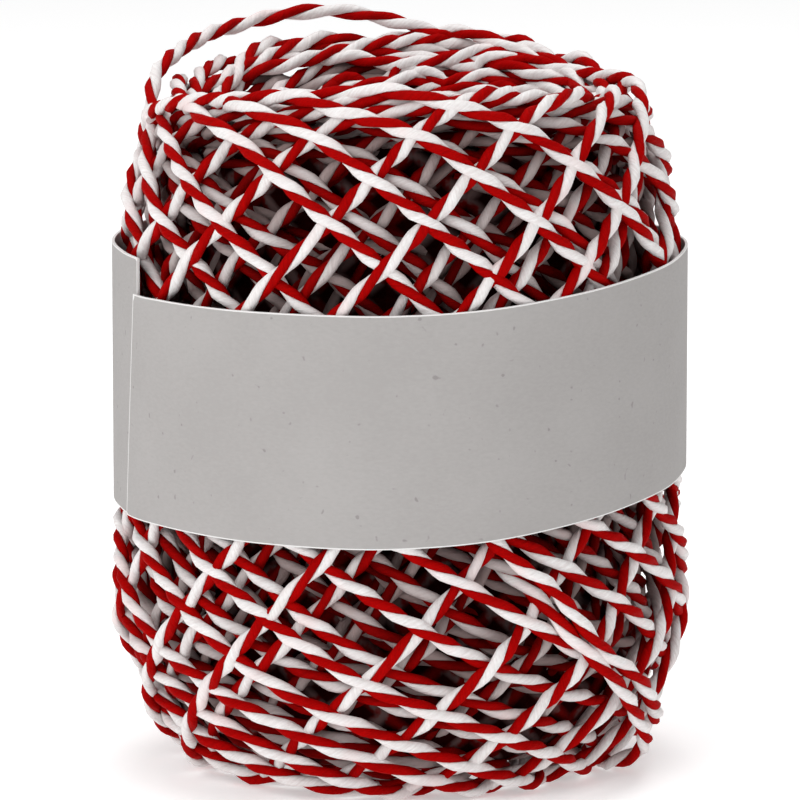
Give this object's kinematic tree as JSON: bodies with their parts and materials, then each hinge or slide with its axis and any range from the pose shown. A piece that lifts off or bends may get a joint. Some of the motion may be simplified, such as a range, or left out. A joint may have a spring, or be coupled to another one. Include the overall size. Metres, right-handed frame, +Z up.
{
  "type": "roll of paper cord",
  "caption": "Coreless cross-wound roll of two-ply red and white paper cord with a plain grey paper band round its middle.",
  "frame": {"origin": "centre of the roll's base, on the surface it stands on", "axes": "+Z up along the roll's axis, -Y towards the front where the camera stood, +X to the picture's right"},
  "size_m": [0.0612, 0.0618, 0.0768],
  "materials": {
    "cord": "matte two-ply twisted paper, one ply deep red and one ply off-white",
    "band": "smooth light grey paper with pale cut edges"
  },
  "bodies": {
    "root": {"wound_cord": "cord", "paper_band": "band"}
  },
  "joints": []
}
